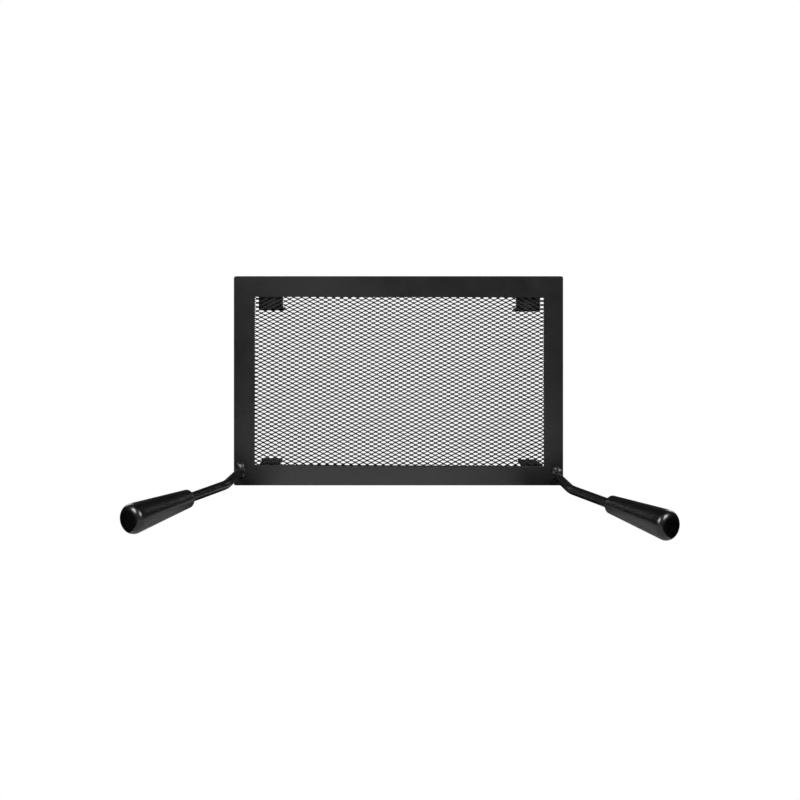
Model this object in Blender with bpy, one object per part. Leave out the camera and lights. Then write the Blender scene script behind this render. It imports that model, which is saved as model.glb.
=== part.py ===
"""Fireplace screen: a flat-bar frame with an expanded-metal panel, four tabs behind it and two bent handles.

Axes: +X to the screen's right as seen from the front, +Y to the back (towards the fire), +Z up.
The origin is the middle of the frame's bottom edge, on the bars' middle plane. Lengths are in metres.
"""

import math

import bmesh
import bpy
from mathutils import Matrix, Vector

MM = 0.001
GAP = 0.3 * MM                      # clearance between touching pieces

# Frame: four mitred flat bars.
FRAME_WIDTH = 491 * MM
FRAME_HEIGHT = 312 * MM
BAR_WIDTH = 30 * MM
INNER_CORNER_INSET = {              # of the opening's corners from the frame's outer edges, along X and Z
    ("top", "left"): (31.0 * MM, 30.9 * MM),
    ("top", "right"): (28.6 * MM, 31.9 * MM),
    ("bottom", "left"): (31.0 * MM, 30.5 * MM),
    ("bottom", "right"): (28.6 * MM, 28.4 * MM),
}
BAR_THICKNESS = 4 * MM
CORNER_RADIUS = 3 * MM
FRONT_Y = -BAR_THICKNESS / 2
BACK_Y = BAR_THICKNESS / 2

# Mesh panel, behind the bars.
MESH_OVERLAP = 12 * MM
MESH_THICKNESS = 2.2 * MM
MESH_COLUMNS = 9
MESH_ROWS = 11
MESH_OPEN_SHARE = 0.56
MESH_FRONT_Y = BACK_Y + GAP
MESH_BACK_Y = MESH_FRONT_Y + MESH_THICKNESS
MESH_HALF_WIDTH = FRAME_WIDTH / 2 - BAR_WIDTH + MESH_OVERLAP
MESH_BOTTOM_Z = BAR_WIDTH - MESH_OVERLAP
MESH_TOP_Z = FRAME_HEIGHT - BAR_WIDTH + MESH_OVERLAP

# Guide tabs at the top and rest tabs at the bottom, bent from steel strip and laid over the mesh's edge.
STRIP_THICKNESS = 3 * MM
STRIP_BEND_RADIUS = 3 * MM          # on the strip's middle line
STRIP_Y = MESH_BACK_Y + GAP + STRIP_THICKNESS / 2
TAB_REACH = 38 * MM                 # behind the bars
GUIDE_WIDTH = 36 * MM
GUIDE_X = {"left": -191.4 * MM, "right": 194.2 * MM}
GUIDE_BOTTOM_Z = {"left": 260.2 * MM, "right": 258.5 * MM}
REST_WIDTH = {"left": 30 * MM, "right": 33.6 * MM}
REST_X = {"left": -193.2 * MM, "right": 200.4 * MM}
REST_TOP_Z = {"left": 31.0 * MM, "right": 29.2 * MM}
REST_TAPER = {"left": 0.0, "right": 0.21}   # narrowing of the outer edge per length behind the bars
STRIP_EDGE_MARGIN = 4 * MM          # from a strip's end to the rail's outer edge

# Handles: round bar, straight out of the frame, then bent outward.
ROD_RADIUS = 6.35 * MM
ROD_FOOT_X = 235.8 * MM
ROD_FOOT_Z = {"left": 20.9 * MM, "right": 14.2 * MM}
ROD_FIRST_LENGTH = 73.5 * MM        # foot to the bend's corner
ROD_SECOND_LENGTH = {"left": 76.8 * MM, "right": 81 * MM}   # bend's corner to the grip's neck
ROD_FIRST_SPLAY = math.radians(5.2)
ROD_SECOND_SPLAY = math.radians(28.6)
ROD_BEND_RADIUS = 40 * MM
STUD_RADIUS = 4 * MM
STUD_LENGTH = 42 * MM

# Grips: tapered, screwed on the rods' studs by an insert.
GRIP_LENGTH = 107.2 * MM
GRIP_NECK_RADIUS = 12.2 * MM
GRIP_NECK_ROUND = 2.5 * MM
GRIP_END_RADIUS = 18.8 * MM
GRIP_END_ROUND = 9 * MM
INSERT_RADIUS = 6.5 * MM
INSERT_LENGTH = 26 * MM
INSERT_DEPTH = 3 * MM               # from the grip's neck face to the insert
BORE_DEPTH = 46 * MM

# Weld beads.
BEAD_HEIGHT = 6 * MM                # along the rod
BEAD_SIDE_WIDTH = 2 * MM
BEAD_TOP_MOUND = 6.5 * MM           # added above the rod
BEAD_BOTTOM_MOUND = 3 * MM          # added below the rod
BEAD_RIPPLE = 0.1
BEAD_RIPPLES = 8
SEAM_BEAD_WIDTH = 5 * MM
SEAM_BEAD_HEIGHT = 1.4 * MM
SEAM_BEAD_INSET = 9 * MM            # from the frame's edges to the bead's middle
SEAM_BEAD_HALF_LENGTH = 6 * MM
STRIP_BEAD_LENGTH = 9 * MM
STRIP_BEAD_LEG = 3.6 * MM
STRIP_BEAD_RISE = 4.3 * MM
STRIP_BEAD_KNEE = 0.62              # how full the bead is between its two feet
STRIP_BEAD_CLEARANCE = 2 * MM       # from the panel's edge to the bead
TACK_RADIUS = 3.4 * MM
TACK_HEIGHT = 1.8 * MM
TACK_COLUMNS = 4
TACK_COLUMN_SPAN = 0.66             # share of the panel's half width between the outermost tacks
TACK_ROWS = 2
TACK_ROW_SPAN = 0.5
WELD_Y = BACK_Y + GAP

ROUND_SEGMENTS = 32

SIDES = {"left": -1, "right": 1}
ENDS = {"top": 1, "bottom": -1}

STEEL_PAINT = {"color": (0.022, 0.022, 0.023), "roughness": 0.42, "metallic": 0.0}
MESH_PAINT = {"color": (0.020, 0.020, 0.021), "roughness": 0.5, "metallic": 0.0}
WELD_PAINT = {"color": (0.028, 0.028, 0.029), "roughness": 0.3, "metallic": 0.0}
GRIP_BLACK = {"color": (0.018, 0.018, 0.019), "roughness": 0.35, "metallic": 0.0}
BRASS = {"color": (0.62, 0.45, 0.19), "roughness": 0.35, "metallic": 1.0}


# Scene and materials

def clear_scene():
    """Remove every object of the open file."""
    for old in list(bpy.data.objects):
        bpy.data.objects.remove(old, do_unlink=True)


def make_material(name, finish):
    """Return a Principled BSDF material with the finish's colour, roughness and metallic value."""
    material = bpy.data.materials.new(name)
    material.use_nodes = True
    shader = material.node_tree.nodes["Principled BSDF"]
    shader.inputs["Base Color"].default_value = (*finish["color"], 1.0)
    shader.inputs["Roughness"].default_value = finish["roughness"]
    shader.inputs["Metallic"].default_value = finish["metallic"]
    material.diffuse_color = (*finish["color"], 1.0)
    return material


def add_node(name, shape, finish, smooth_angle=None):
    """Turn a bmesh into a named object with its own material, faces pointing out."""
    bmesh.ops.recalc_face_normals(shape, faces=shape.faces[:])
    mesh = bpy.data.meshes.new(name)
    shape.to_mesh(mesh)
    shape.free()
    if smooth_angle is not None:
        mesh.shade_smooth()
        mesh.set_sharp_from_angle(angle=math.radians(smooth_angle))
    mesh.materials.append(make_material(name, finish))
    node = bpy.data.objects.new(name, mesh)
    bpy.context.scene.collection.objects.link(node)
    return node


# Shape builders

def extrude_outline(shape, outline, direction):
    """Add a closed prism: the flat outline, swept along direction."""
    near = [shape.verts.new(point) for point in outline]
    far = [shape.verts.new(Vector(point) + Vector(direction)) for point in outline]
    count = len(outline)
    shape.faces.new(near)
    shape.faces.new(far[::-1])
    for i in range(count):
        after = (i + 1) % count
        shape.faces.new((near[i], far[i], far[after], near[after]))


def close_tube(shape, rings):
    """Join rings of vertices into a tube and close both its ends."""
    count = len(rings[0])
    for near, far in zip(rings, rings[1:]):
        for i in range(count):
            after = (i + 1) % count
            shape.faces.new((near[i], near[after], far[after], far[i]))
    shape.faces.new(rings[0][::-1])
    shape.faces.new(rings[-1])


def turn_profile(shape, profile, place, ripple=None):
    """Revolve a closed (radius, height) profile about Z, then move it by the matrix place.

    A profile point on the axis has radius 0. ripple, if given, scales the radius by the angle.
    """
    rings = []
    for radius, height in profile:
        if radius == 0:
            rings.append([shape.verts.new(place @ Vector((0, 0, height)))])
            continue
        ring = []
        for k in range(ROUND_SEGMENTS):
            angle = 2 * math.pi * k / ROUND_SEGMENTS
            reach = radius if ripple is None else ripple(radius, angle)
            point = Vector((reach * math.cos(angle), reach * math.sin(angle), height))
            ring.append(shape.verts.new(place @ point))
        rings.append(ring)
    for here, there in zip(rings, rings[1:] + rings[:1]):
        if len(here) == 1 and len(there) == 1:
            continue
        for k in range(ROUND_SEGMENTS):
            after = (k + 1) % ROUND_SEGMENTS
            if len(here) == 1:
                shape.faces.new((here[0], there[after], there[k]))
            elif len(there) == 1:
                shape.faces.new((here[k], here[after], there[0]))
            else:
                shape.faces.new((here[k], here[after], there[after], there[k]))


def round_corner(corner, before, after, radius, steps):
    """Return the points of an arc of the radius that rounds the corner of a polyline."""
    corner, before, after = Vector(corner), Vector(before), Vector(after)
    into = (before - corner).normalized()
    away = (after - corner).normalized()
    half = into.angle(away) / 2
    bisector = (into + away).normalized()
    centre = corner + bisector * radius / math.sin(half)
    start = corner + into * radius / math.tan(half) - centre
    stop = corner + away * radius / math.tan(half) - centre
    turn = start.angle(stop)
    points = []
    for k in range(steps + 1):
        share = k / steps
        mix = math.sin((1 - share) * turn) * start + math.sin(share * turn) * stop
        points.append(centre + mix / math.sin(turn))
    return points


def strip_outline(path, thickness, bend_radius):
    """Return the closed side view of a strip whose middle line follows the path, bends rounded."""
    middle = [Vector(path[0])]
    for before, corner, after in zip(path, path[1:], path[2:]):
        middle += round_corner(corner, before, after, bend_radius, 4)
    middle.append(Vector(path[-1]))
    one_side = []
    other_side = []
    for i, point in enumerate(middle):
        along = middle[min(i + 1, len(middle) - 1)] - middle[max(i - 1, 0)]
        across = Vector((0, -along.z, along.y)).normalized() * thickness / 2
        one_side.append(point + across)
        other_side.append(point - across)
    return one_side + other_side[::-1]


# Frame

def corner_arc(x_sign, z_sign, on_rail):
    """Return the half of a rounded frame corner that belongs to a rail, or to a stile, ending on the mitre."""
    centre_x = x_sign * (FRAME_WIDTH / 2 - CORNER_RADIUS)
    centre_z = (FRAME_HEIGHT - CORNER_RADIUS) if z_sign > 0 else CORNER_RADIUS
    first, last = (90, 45) if on_rail else (0, 45)
    points = []
    for k in range(3):
        angle = math.radians(first + (last - first) * k / 2)
        x = centre_x + x_sign * CORNER_RADIUS * math.cos(angle)
        z = centre_z + z_sign * CORNER_RADIUS * math.sin(angle)
        points.append((x, z))
    return points


def inner_corner(end, side):
    """Return the (x, z) of one corner of the opening."""
    inset_x, inset_z = INNER_CORNER_INSET[end, side]
    z = FRAME_HEIGHT - inset_z if end == "top" else inset_z
    return SIDES[side] * (FRAME_WIDTH / 2 - inset_x), z


def add_rail(end):
    """Build the top or the bottom bar, mitred at both ends."""
    left_corner = corner_arc(-1, ENDS[end], True)
    right_corner = corner_arc(1, ENDS[end], True)
    outline = left_corner[::-1] + right_corner + [inner_corner(end, "right"), inner_corner(end, "left")]
    shape = bmesh.new()
    extrude_outline(shape, [(x, FRONT_Y, z) for x, z in outline], (0, BAR_THICKNESS, 0))
    return add_node(end + "_rail", shape, STEEL_PAINT)


def add_stile(side):
    """Build the left or the right bar, a mitre gap away from both rails."""
    step = GAP * math.sqrt(2)
    top = [(x, z - step) for x, z in corner_arc(SIDES[side], 1, False) + [inner_corner("top", side)]]
    bottom = [(x, z + step) for x, z in corner_arc(SIDES[side], -1, False) + [inner_corner("bottom", side)]]
    shape = bmesh.new()
    extrude_outline(shape, [(x, FRONT_Y, z) for x, z in top + bottom[::-1]], (0, BAR_THICKNESS, 0))
    return add_node(side + "_stile", shape, STEEL_PAINT)


# Mesh panel

def add_mesh_panel():
    """Build the panel as a coarse lattice of diamonds with the real outline, thickness and open share.

    The panel is tiled with diamonds. Each whole diamond has a diamond-shaped hole, and the half diamonds
    along the edges stay solid, as a rim behind the bars.
    """
    half_x = MESH_HALF_WIDTH / MESH_COLUMNS
    half_z = (MESH_TOP_Z - MESH_BOTTOM_Z) / (2 * MESH_ROWS)
    hole = math.sqrt(MESH_OPEN_SHARE)
    last_column = 2 * MESH_COLUMNS
    last_row = 2 * MESH_ROWS
    shape = bmesh.new()

    def pair(column, row):
        """Return the front and the back vertex of one lattice point."""
        x = -MESH_HALF_WIDTH + column * half_x
        z = MESH_BOTTOM_Z + row * half_z
        return shape.verts.new((x, MESH_FRONT_Y, z)), shape.verts.new((x, MESH_BACK_Y, z))

    lattice = {}
    for column in range(last_column + 1):
        for row in range(last_row + 1):
            if (column + row) % 2 == 0:
                lattice[column, row] = pair(column, row)

    def bridge(first, second):
        """Close the wall between two lattice points, from the front face to the back face."""
        shape.faces.new((first[0], first[1], second[1], second[0]))

    for column in range(last_column + 1):
        for row in range(last_row + 1):
            if (column + row) % 2 == 0:
                continue
            around = [(column - 1, row), (column, row - 1), (column + 1, row), (column, row + 1)]
            outer = [lattice[key] for key in around if key in lattice]
            if len(outer) == 3:
                shape.faces.new([point[0] for point in outer])
                shape.faces.new([point[1] for point in outer][::-1])
                on_edge = [
                    lattice[key] for key in around
                    if key in lattice and (key[0] == column in (0, last_column) or key[1] == row in (0, last_row))
                ]
                bridge(on_edge[0], on_edge[1])
                continue
            inner = [pair(column + (c - column) * hole, row + (r - row) * hole) for c, r in around]
            for k in range(4):
                after = (k + 1) % 4
                shape.faces.new((outer[k][0], outer[after][0], inner[after][0], inner[k][0]))
                shape.faces.new((outer[k][1], inner[k][1], inner[after][1], outer[after][1]))
                bridge(inner[k], inner[after])
    return add_node("mesh_panel", shape, MESH_PAINT)


# Guide tabs and rest tabs

def add_tab(name, path, side, centre_x, width, taper=0.0):
    """Build a bent strip: its side view extruded across its width, its outer edge running in by the taper."""
    outline = strip_outline(path, STRIP_THICKNESS, STRIP_BEND_RADIUS)
    shape = bmesh.new()
    extrude_outline(shape, [(centre_x - width / 2, point.y, point.z) for point in outline], (width, 0, 0))
    outer_x = centre_x + SIDES[side] * width / 2
    for vertex in shape.verts:
        if abs(vertex.co.x - outer_x) < GAP:
            vertex.co.x -= SIDES[side] * taper * (vertex.co.y - STRIP_Y + STRIP_THICKNESS / 2)
    return add_node(name, shape, STEEL_PAINT)


def add_guide_tabs():
    """Build the two top tabs: down behind the mesh's edge, then level to the back."""
    for side in SIDES:
        plate_z = GUIDE_BOTTOM_Z[side] + STRIP_THICKNESS / 2
        path = [
            (0, STRIP_Y, FRAME_HEIGHT - STRIP_EDGE_MARGIN),
            (0, STRIP_Y, plate_z),
            (0, BACK_Y + TAB_REACH, plate_z),
        ]
        add_tab("top_" + side + "_guide_tab", path, side, GUIDE_X[side], GUIDE_WIDTH)


def add_rest_tabs():
    """Build the two bottom tabs: up behind the mesh's edge, then level to the back."""
    for side in SIDES:
        plate_z = REST_TOP_Z[side] - STRIP_THICKNESS / 2
        path = [
            (0, STRIP_Y, STRIP_EDGE_MARGIN),
            (0, STRIP_Y, plate_z),
            (0, BACK_Y + TAB_REACH, plate_z),
        ]
        name = "bottom_" + side + "_rest_tab"
        add_tab(name, path, side, REST_X[side], REST_WIDTH[side], REST_TAPER[side])


# Handles

class Handle:
    """The level middle line of one handle, from the rod's foot on the frame to the grip's end."""

    def __init__(self, side):
        self.side = side
        sign = SIDES[side]
        self.foot = Vector((sign * ROD_FOOT_X, FRONT_Y - GAP, ROD_FOOT_Z[side]))
        self.first = self.level_direction(sign * ROD_FIRST_SPLAY)
        self.second = self.level_direction(sign * ROD_SECOND_SPLAY)
        self.corner = self.foot + self.first * ROD_FIRST_LENGTH
        self.neck = self.corner + self.second * ROD_SECOND_LENGTH[side]

    @staticmethod
    def level_direction(splay):
        """Return the level direction that leaves the frame's front face at the splay angle."""
        return Vector((math.sin(splay), -math.cos(splay), 0))

    def middle_line(self):
        """Return the rod's middle line as points, with the bend as an arc."""
        bend = round_corner(self.corner, self.foot, self.neck, ROD_BEND_RADIUS, 8)
        return [self.foot] + bend + [self.neck]

    def grip_frame(self):
        """Return the matrix that stands a shape turned about Z on the grip's neck, along its axis."""
        return Matrix.Translation(self.neck) @ self.second.to_track_quat("Z", "Y").to_matrix().to_4x4()


def add_rod(handle):
    """Build the bent round bar with the turned-down stud that screws into the grip."""
    line = handle.middle_line()
    shoulder = handle.neck - handle.second * GAP
    line[-1] = shoulder
    stations = [(point, ROD_RADIUS) for point in line]
    stations.append((shoulder, STUD_RADIUS))
    stations.append((shoulder + handle.second * STUD_LENGTH, STUD_RADIUS))
    shape = bmesh.new()
    rings = []
    for i, (centre, radius) in enumerate(stations):
        if i == 0:
            along = handle.first
        elif i >= len(line) - 1:
            along = handle.second
        else:
            along = (line[i + 1] - line[i]).normalized() + (line[i] - line[i - 1]).normalized()
        level = along.cross(Vector((0, 0, 1))).normalized()
        upward = level.cross(along).normalized()
        if i == 0:
            level = Vector((level.x, 0, 0)) / abs(level.x)
        ring = []
        for k in range(ROUND_SEGMENTS):
            angle = 2 * math.pi * k / ROUND_SEGMENTS
            ring.append(shape.verts.new(centre + radius * (math.cos(angle) * level + math.sin(angle) * upward)))
        rings.append(ring)
    close_tube(shape, rings)
    return add_node(handle.side + "_handle_rod", shape, STEEL_PAINT, smooth_angle=40)


def quarter_round(centre, radius, first, last, steps):
    """Return (radius, height) points of an arc between two angles in degrees."""
    points = []
    for k in range(steps + 1):
        angle = math.radians(first + (last - first) * k / steps)
        points.append((centre[0] + radius * math.cos(angle), centre[1] + radius * math.sin(angle)))
    return points


def add_grip(handle):
    """Build the tapered grip with its blind bore, which is wider where the insert sits."""
    neck = quarter_round((GRIP_NECK_RADIUS - GRIP_NECK_ROUND, GRIP_NECK_ROUND), GRIP_NECK_ROUND, -90, 0, 3)
    end_centre = (GRIP_END_RADIUS - GRIP_END_ROUND, GRIP_LENGTH - GRIP_END_ROUND)
    end = quarter_round(end_centre, GRIP_END_ROUND, 0, 90, 6)
    bore = STUD_RADIUS + GAP
    pocket = INSERT_RADIUS + GAP
    profile = neck + end + [
        (0, GRIP_LENGTH),
        (0, BORE_DEPTH),
        (bore, BORE_DEPTH),
        (bore, INSERT_DEPTH + INSERT_LENGTH + GAP),
        (pocket, INSERT_DEPTH + INSERT_LENGTH + GAP),
        (pocket, 0),
    ]
    shape = bmesh.new()
    turn_profile(shape, profile, handle.grip_frame())
    return add_node(handle.side + "_grip", shape, GRIP_BLACK, smooth_angle=35)


def add_grip_insert(handle):
    """Build the insert: a sleeve round the stud, set into the grip's bore."""
    inner = STUD_RADIUS + GAP
    top = INSERT_DEPTH + INSERT_LENGTH
    profile = [(inner, INSERT_DEPTH), (INSERT_RADIUS, INSERT_DEPTH), (INSERT_RADIUS, top), (inner, top)]
    shape = bmesh.new()
    turn_profile(shape, profile, handle.grip_frame())
    return add_node(handle.side + "_grip_insert", shape, BRASS, smooth_angle=35)


# Welds

def bead_width(angle):
    """Return a foot bead's width at an angle from +X: a mound above the rod, a smaller one below, and ripples."""
    above = max(0.0, math.sin(angle)) ** 2
    below = max(0.0, -math.sin(angle)) ** 2
    swell = 1 + BEAD_RIPPLE * math.cos(BEAD_RIPPLES * angle)
    return (BEAD_SIDE_WIDTH + above * BEAD_TOP_MOUND + below * BEAD_BOTTOM_MOUND) * swell


def add_foot_weld(handle):
    """Build the rippled fillet bead round a rod's foot, on the frame's front face.

    The profile's radius is a share of the bead's width there, added to the bead's round bore.
    """
    inner = ROD_RADIUS / math.cos(ROD_FIRST_SPLAY) + GAP
    height = BEAD_HEIGHT
    profile = [(inner, 0), (inner + 1, 0), (inner + 0.8, 0.4 * height), (inner + 0.4, 0.8 * height), (inner, height)]

    def ripple(radius, angle):
        """Turn the profile's share of the bead's width into a radius."""
        return inner + (radius - inner) * bead_width(angle)

    lean = Matrix.Identity(4)
    lean[0][2] = handle.first.x / -handle.first.y
    stand = Matrix.Rotation(math.radians(90), 4, "X")
    shape = bmesh.new()
    turn_profile(shape, profile, Matrix.Translation(handle.foot) @ stand @ lean, ripple)
    return add_node(handle.side + "_rod_weld", shape, WELD_PAINT, smooth_angle=60)


def dome(shape, centre, radius, height, along=None, half_length=0.0):
    """Add a low closed dome that stands on the plane at centre and rises to +Y.

    With a unit vector along, the dome is stretched to both sides by half_length, into a bead.
    """
    along = Vector((1, 0, 0)) if along is None else along
    across = Vector((0, 1, 0)).cross(along)
    segments = 12
    levels = [(1.0, 0.0), (0.82, 0.6), (0.45, 0.92)]
    rings = []
    for share, rise in levels:
        ring = []
        for k in range(segments):
            angle = 2 * math.pi * (k + 0.5) / segments
            stretch = half_length * share * (1 if math.cos(angle) > 0 else -1)
            offset = along * (stretch + radius * share * math.cos(angle)) + across * radius * share * math.sin(angle)
            ring.append(shape.verts.new(Vector(centre) + offset + Vector((0, height * rise, 0))))
        rings.append(ring)
    close_tube(shape, rings)


def add_dome(name, centre, radius, height, along=None, half_length=0.0):
    """Build one bead or tack as a node of its own."""
    shape = bmesh.new()
    dome(shape, centre, radius, height, along, half_length)
    add_node(name, shape, WELD_PAINT, smooth_angle=60)


def add_corner_welds():
    """Build a bead along the outer half of each mitre, on the frame's back."""
    for end, z_sign in ENDS.items():
        for side, x_sign in SIDES.items():
            x = x_sign * (FRAME_WIDTH / 2 - SEAM_BEAD_INSET)
            z = FRAME_HEIGHT - SEAM_BEAD_INSET if z_sign > 0 else SEAM_BEAD_INSET
            along = Vector((x_sign, 0, z_sign)).normalized()
            name = end + "_" + side + "_corner_weld"
            add_dome(name, (x, WELD_Y, z), SEAM_BEAD_WIDTH / 2, SEAM_BEAD_HEIGHT, along, SEAM_BEAD_HALF_LENGTH)


def add_tab_welds(tab, side, centre_x, width, middle_z):
    """Build a fillet bead on each side edge of a tab, where it lies over the rail's back face."""
    low = middle_z - STRIP_BEAD_LENGTH / 2
    for edge, sign in (("outer", SIDES[side]), ("inner", -SIDES[side])):
        edge_x = centre_x + sign * (width / 2 + GAP)
        foot_x = edge_x + sign * STRIP_BEAD_LEG
        knee_x = edge_x + sign * STRIP_BEAD_KNEE * STRIP_BEAD_LEG
        outline = [
            (edge_x, WELD_Y, low),
            (foot_x, WELD_Y, low),
            (knee_x, WELD_Y + STRIP_BEAD_KNEE * STRIP_BEAD_LEG, low),
            (edge_x, WELD_Y + STRIP_BEAD_RISE, low),
        ]
        shape = bmesh.new()
        extrude_outline(shape, outline, (0, 0, STRIP_BEAD_LENGTH))
        add_node(tab + "_" + edge + "_weld", shape, WELD_PAINT)


def add_mesh_tacks():
    """Build the tack welds along the panel's four edges, on the frame's back."""
    step = TACK_RADIUS + GAP
    for k in range(TACK_COLUMNS):
        x = MESH_HALF_WIDTH * TACK_COLUMN_SPAN * (2 * k / (TACK_COLUMNS - 1) - 1)
        for end, z in (("top", MESH_TOP_Z + step), ("bottom", MESH_BOTTOM_Z - step)):
            add_dome(end + "_mesh_tack_" + str(k + 1), (x, WELD_Y, z), TACK_RADIUS, TACK_HEIGHT)
    middle_z = (MESH_TOP_Z + MESH_BOTTOM_Z) / 2
    half_height = (MESH_TOP_Z - MESH_BOTTOM_Z) / 2
    for k in range(TACK_ROWS):
        z = middle_z + half_height * TACK_ROW_SPAN * (2 * k / (TACK_ROWS - 1) - 1)
        for side, sign in SIDES.items():
            x = sign * (MESH_HALF_WIDTH + step)
            add_dome(side + "_mesh_tack_" + str(k + 1), (x, WELD_Y, z), TACK_RADIUS, TACK_HEIGHT)


def main():
    """Build every node of the fireplace screen."""
    clear_scene()
    for end in ENDS:
        add_rail(end)
    for side in SIDES:
        add_stile(side)
    add_mesh_panel()
    add_guide_tabs()
    add_rest_tabs()
    bead_offset = STRIP_BEAD_CLEARANCE + STRIP_BEAD_LENGTH / 2
    for side in SIDES:
        handle = Handle(side)
        add_rod(handle)
        add_grip(handle)
        add_grip_insert(handle)
        add_foot_weld(handle)
        guide = "top_" + side + "_guide_tab"
        add_tab_welds(guide, side, GUIDE_X[side], GUIDE_WIDTH, MESH_TOP_Z + bead_offset)
        rest = "bottom_" + side + "_rest_tab"
        add_tab_welds(rest, side, REST_X[side], REST_WIDTH[side], MESH_BOTTOM_Z - bead_offset)
    add_corner_welds()
    add_mesh_tacks()


main()
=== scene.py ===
"""Looks of a fireplace screen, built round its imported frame.

The frame is four painted flat bars with a panel of expanded metal behind them. Two bent rods carry tapered
grips in front, and four strip tabs reach back from behind the bars. Every visible piece is built here from mesh
code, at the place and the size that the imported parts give, and dressed in a procedural finish.
"""

import logging
import math
from collections.abc import Callable, Sequence
from dataclasses import dataclass
from enum import Enum

import bmesh
import bpy
from mathutils import Matrix, Vector, noise


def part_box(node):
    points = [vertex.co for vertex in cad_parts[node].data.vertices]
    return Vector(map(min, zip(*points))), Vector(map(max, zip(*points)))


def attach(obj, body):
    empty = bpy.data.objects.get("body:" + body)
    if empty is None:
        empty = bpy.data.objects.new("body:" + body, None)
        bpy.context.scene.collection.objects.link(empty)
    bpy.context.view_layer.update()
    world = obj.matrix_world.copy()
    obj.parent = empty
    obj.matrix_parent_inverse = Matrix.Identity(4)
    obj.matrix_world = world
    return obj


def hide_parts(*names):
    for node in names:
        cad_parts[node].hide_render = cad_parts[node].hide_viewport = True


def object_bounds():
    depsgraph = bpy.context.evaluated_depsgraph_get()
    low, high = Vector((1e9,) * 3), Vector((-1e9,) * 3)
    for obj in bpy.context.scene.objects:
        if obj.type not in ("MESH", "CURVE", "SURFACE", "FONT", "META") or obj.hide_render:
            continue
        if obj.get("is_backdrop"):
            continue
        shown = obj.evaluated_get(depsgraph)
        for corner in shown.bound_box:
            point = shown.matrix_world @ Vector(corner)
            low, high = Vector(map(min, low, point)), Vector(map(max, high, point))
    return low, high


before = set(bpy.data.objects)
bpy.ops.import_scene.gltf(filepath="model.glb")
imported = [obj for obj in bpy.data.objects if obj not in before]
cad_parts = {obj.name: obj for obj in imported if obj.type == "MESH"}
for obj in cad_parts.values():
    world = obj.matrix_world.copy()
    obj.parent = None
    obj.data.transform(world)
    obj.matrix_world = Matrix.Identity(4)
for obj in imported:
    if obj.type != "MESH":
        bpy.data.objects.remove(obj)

LOG = logging.getLogger("fireplace_screen")
MM = 0.001
ROOT_BODY = "root"
UP = Vector((0, 0, 1))
BACK = Vector((0, 1, 0))
RIGHT = Vector((1, 0, 0))
Colour = tuple[float, float, float]


class Side(Enum):
    """The screen's two sides, as seen from the front."""

    LEFT = -1
    RIGHT = 1

    @property
    def label(self) -> str:
        """The word that node names use for this side."""
        return self.name.lower()


class End(Enum):
    """The screen's two ends."""

    TOP = 1
    BOTTOM = -1

    @property
    def label(self) -> str:
        """The word that node names use for this end."""
        return self.name.lower()


class Slot(Enum):
    """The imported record's material slots."""

    FRAME = "frame_paint"
    BRACKET = "bracket_paint"
    ROD = "rod_paint"
    MESH = "mesh_paint"
    WELD = "weld_paint"
    GRIP = "grip_black"
    INSERT = "insert_brass"


# Shader groups


class Graph:
    """A node tree that is filled from left to right, one node at a time."""

    def __init__(self, tree: bpy.types.NodeTree) -> None:
        """Keep the tree and start its first column."""
        self.tree = tree
        self.column = 0

    def add(self, kind: str, values: dict | None = None, **options: object) -> bpy.types.Node:
        """Add a node and set it up.

        Args:
            kind: The node's type name, such as "ShaderNodeTexNoise".
            values: For each input's name or number, a value to set or an output socket to link from.
            options: Attributes of the node, such as operation.

        Returns:
            The new node.
        """
        node = self.tree.nodes.new(kind)
        node.location = (self.column * 190, 0)
        self.column += 1
        for name, value in options.items():
            setattr(node, name, value)
        for key, value in (values or {}).items():
            self.feed(node.inputs[key], value)
        return node

    def feed(self, socket: bpy.types.NodeSocket, value: object) -> None:
        """Link a socket from an output, or set it to a value.

        Args:
            socket: The input to feed.
            value: An output to link from, or a plain value to set.
        """
        if isinstance(value, bpy.types.NodeSocket):
            self.tree.links.new(value, socket)
        else:
            socket.default_value = value

    def math(self, operation: str, first: object, second: object) -> bpy.types.NodeSocket:
        """Return the result of a Math node on two values or sockets."""
        return self.add("ShaderNodeMath", {0: first, 1: second}, operation=operation).outputs[0]

    def noise(self, place: bpy.types.NodeSocket, scale: object, detail: float) -> bpy.types.NodeSocket:
        """Return a noise value from 0 to 1 at a place in object space."""
        return self.add("ShaderNodeTexNoise", {"Vector": place, "Scale": scale, "Detail": detail}).outputs["Fac"]

    def remap(self, value: object, source: tuple, target: tuple) -> bpy.types.NodeSocket:
        """Return a value moved from one range to another, held at the target's ends."""
        ends = {0: value, 1: source[0], 2: source[1], 3: target[0], 4: target[1]}
        return self.add("ShaderNodeMapRange", ends).outputs[0]

    def mix(self, share: object, first: object, second: object) -> bpy.types.NodeSocket:
        """Return the mix of two colours, each a socket or a colour."""
        pair = [c if isinstance(c, bpy.types.NodeSocket) else (*c, 1.0) for c in (first, second)]
        return self.add("ShaderNodeMix", {0: share, 6: pair[0], 7: pair[1]}, data_type="RGBA").outputs[2]

    def use(self, group: bpy.types.NodeTree, values: dict[str, float]) -> bpy.types.NodeOutputs:
        """Place a shader group with its own values and return its outputs."""
        return self.add("ShaderNodeGroup", values, node_tree=group).outputs


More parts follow.
